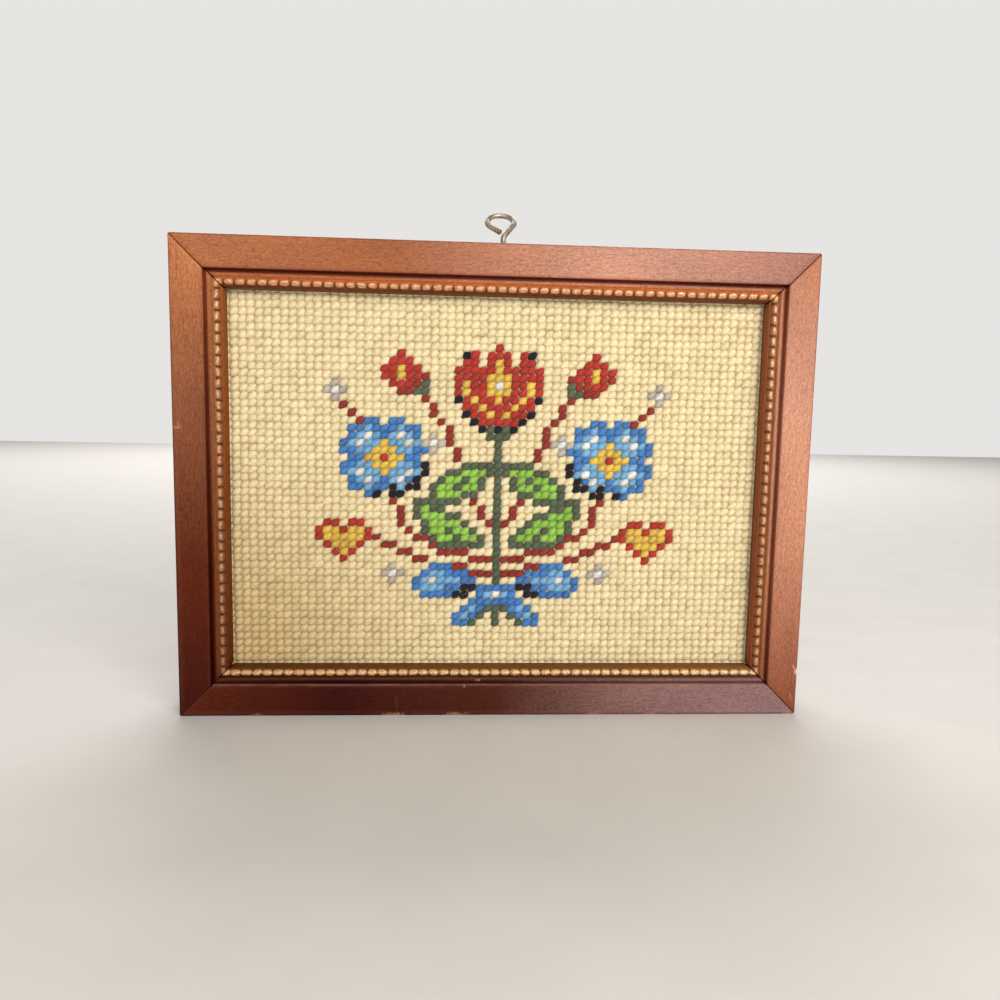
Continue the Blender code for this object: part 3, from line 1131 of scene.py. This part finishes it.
def eye_centre_line():
    """The screw eye's centre line, with each place's radius, from its point in the wood to its cut end."""
    bend = [Vector((SHANK_X, 0, SHANK_RISE / 3)), Vector((SHANK_X, 0, SHANK_RISE))]
    for turn in range(9):
        angle = math.radians(-38 + (215 + 38) * turn / 8)
        across = RING_RADIUS * math.cos(angle)
        up = RING_RADIUS * math.sin(angle)
        bend.append(RING_CENTRE + Vector((across, up * math.sin(RING_LEAN), up * math.cos(RING_LEAN))))
    bend.append(FREE_END)
    path, radii = [], []
    shank_steps = 90
    for step in range(shank_steps + 1):
        height = -SHANK_DEPTH + (SHANK_DEPTH + SHANK_RISE / 3 - 0.1 * MM) * step / shank_steps
        taper = min(1.0, 0.2 + 0.8 * (height + SHANK_DEPTH) / (2.2 * MM))
        path.append(Vector((SHANK_X, 0, height)))
        radii.append(SHANK_RADIUS * taper)
    wire = smooth_path(bend, 10)
    path += wire
    radii += [SHANK_RADIUS + (WIRE_RADIUS - SHANK_RADIUS) * min(1.0, step / 12) for step in range(len(wire))]
    bevel = 0.12 * MM
    direction = (path[-1] - path[-2]).normalized()
    path.append(path[-1] + direction * bevel)
    radii.append(WIRE_RADIUS - bevel)
    return path, radii


def build_screw_eye(material):
    """The screw eye as one closed skin, with a thread cut into its shank."""
    path, radii = eye_centre_line()
    base = Vector((CENTRE.x, 0, TOP))
    points, along, around = [], [], []
    normal = Vector((0, -1, 0))
    travelled = 0.0
    for index, (spot, radius) in enumerate(zip(path, radii)):
        before = path[max(index - 1, 0)]
        after = path[min(index + 1, len(path) - 1)]
        direction = (after - before).normalized()
        normal = (normal - direction * normal.dot(direction)).normalized()
        side_way = direction.cross(normal)
        travelled += (spot - before).length
        for side in range(EYE_SIDES):
            angle = 2 * math.pi * side / EYE_SIDES
            reach = radius
            if spot.z < THREAD_TOP and spot.x == SHANK_X:
                phase = (spot.z / THREAD_PITCH + side / EYE_SIDES) % 1.0
                fade = min(1.0, (THREAD_TOP - spot.z) / (0.8 * MM))
                reach -= THREAD_DEPTH * fade * max(0.0, math.cos(2 * math.pi * phase)) ** 2
            points.append(base + spot + (normal * math.cos(angle) + side_way * math.sin(angle)) * reach)
            along.append(travelled)
            around.append(radius * angle)
    mesh = mesh_from("wire_eye", points, tube_faces(len(path), EYE_SIDES), along=along, around=around)
    piece = add_piece("wire_eye", outward(mesh), material)
    mesh.set_sharp_from_angle(angle=math.radians(50))
    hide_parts("screw_eye")


def dull_nickel():
    """Nickel plate gone dull, with fine scratches and a little tarnish."""
    material, tree, shader = new_material("dull_nickel", Metallic=0.8)
    coords = object_coordinates(tree)
    tarnish = noise_value(tree, coords, 420, 4, 0.6)
    scratch = noise_value(tree, stretched(tree, coords, (1.0, 1.0, 0.15)), 4000, 2)
    colour = mix(tree, remap(tree, tarnish, 0.35, 0.75), srgb(206, 194, 176), srgb(128, 112, 94))
    roughness = remap(tree, scratch, 0.3, 0.7, 0.36, 0.52)
    feed(shader, Base_Color=colour, Roughness=roughness, Normal=bumped(tree, tarnish, 0.04 * MM))
    return material


# ---- studio

CAMERA_PLACE = Vector((-13.71, -248.62, 96.40)) * MM
CAMERA_YAW = math.radians(3.392)
CAMERA_PITCH = math.radians(-5.885)
CAMERA_ROLL = math.radians(1.084)
CAMERA_LENS = 27.036


def build_camera():
    """The camera, a little left of the picture's middle and a little above it."""
    camera = placed("camera", bpy.data.cameras.new("camera"))
    camera.data.lens = CAMERA_LENS
    camera.data.sensor_width = 36
    camera.data.clip_start = 0.01
    turn = Matrix.Rotation(-CAMERA_YAW, 4, "Z")
    turn @= Matrix.Rotation(math.pi / 2 + CAMERA_PITCH, 4, "X")
    turn @= Matrix.Rotation(CAMERA_ROLL, 4, "Z")
    camera.matrix_world = Matrix.Translation(CAMERA_PLACE) @ turn
    bpy.context.scene.camera = camera


def build_light(name, place, size, power, colour):
    """A square area light that looks at the middle of the picture."""
    data = bpy.data.lights.new(name, "AREA")
    data.shape = "SQUARE"
    data.size = size
    data.energy = power
    data.color = colour
    light = placed(name, data)
    light.location = place
    light.rotation_euler = (Vector(place) - CENTRE).to_track_quat("Z", "Y").to_euler()
    return light


FLOOR_REACH = 2.5
WORLD_LIGHT = 0.33
WORLD_SEEN = 0.84


def build_studio():
    """A pale floor and surrounding, two soft lights in front and above, and a wash on the floor behind."""
    material, tree, shader = new_material("floor", Roughness=0.8)
    value = noise_value(tree, object_coordinates(tree), 30, 3)
    feed(shader, Base_Color=mix(tree, value, srgb(214, 210, 204), srgb(226, 222, 216)))
    corners = [(x * FLOOR_REACH, y * FLOOR_REACH, 0) for x, y in ((-1, -1), (1, -1), (1, 1), (-1, 1))]
    mesh = bpy.data.meshes.new("floor")
    mesh.from_pydata(corners, [], [(0, 1, 2, 3)])
    mesh.materials.append(material)
    floor = placed("floor", mesh)
    floor.location.z = BOTTOM

    world = bpy.data.worlds.new("studio")
    world.use_nodes = True
    background = world.node_tree.nodes["Background"]
    background.inputs["Color"].default_value = (0.95, 0.93, 0.91, 1.0)
    seen = put(world.node_tree, "ShaderNodeLightPath").outputs["Is Camera Ray"]
    strength = remap(world.node_tree, seen, 0.0, 1.0, WORLD_LIGHT, WORLD_SEEN)
    feed(background, Strength=strength)
    bpy.context.scene.world = world
    bpy.context.scene.view_settings.view_transform = "Standard"

    build_light("key", (0.30, -0.56, 0.36), size=0.34, power=3.0, colour=(1.0, 0.98, 0.95))
    build_light("fill", (-0.20, -0.90, 0.42), size=0.7, power=2.65, colour=(1.0, 0.98, 0.96))
    wash = build_light("wash", (0.0, 1.7, 1.5), size=2.0, power=45.0, colour=(1.0, 0.99, 0.98))
    wash.rotation_euler = (0, 0, 0)


# ---- assembly

BEAD_SEED, CREAM_SEED, YARN_SEED, FIBRE_SEED = 20, 40, 60, 90
CREAM_PARTS = 3
# How far the grain's noise is shifted from one rail to the next, so that no two are alike.
GRAIN_SHIFT = 0.37


def main():
    """Builds every piece of the object, then the studio round it."""
    build_camera()
    for index, side in enumerate(SIDES):
        build_rail(side, stained_wood(side, GRAIN_SHIFT * index))
        build_beads(side, rubbed_gilt(side), BEAD_SEED + index)
    build_mitre_glue(dark_glue())

    coloured = design()
    ground = [(c, r) for r in range(ROWS) for c in range(COLUMNS) if (c, r) not in coloured]
    cream = wool("cream", CREAM, CREAM_VALLEY_SHADE)
    share = math.ceil(len(ground) / CREAM_PARTS)
    for index in range(CREAM_PARTS):
        cells = ground[index * share : (index + 1) * share]
        name = f"cream_stitches_{index + 1}"
        build_stitches(name, cells, cream, CREAM_SEED + index, CREAM_PLUMPNESS)
    for index, (letter, (name, colour)) in enumerate(YARNS.items()):
        cells = sorted(cell for cell, yarn in coloured.items() if yarn == letter)
        yarn = wool(name, colour, COLOURED_VALLEY_SHADE)
        name += "_stitches"
        build_stitches(name, cells, yarn, YARN_SEED + index, COLOURED_PLUMPNESS)
    build_fibres(cream, FIBRE_COUNT, FIBRE_SEED)
    canvas = build_canvas(tan_canvas())

    board = bpy.data.objects["backing_board"]
    board.data.materials.clear()
    board.data.materials.append(brown_board())
    build_screw_eye(dull_nickel())
    build_studio()


main()
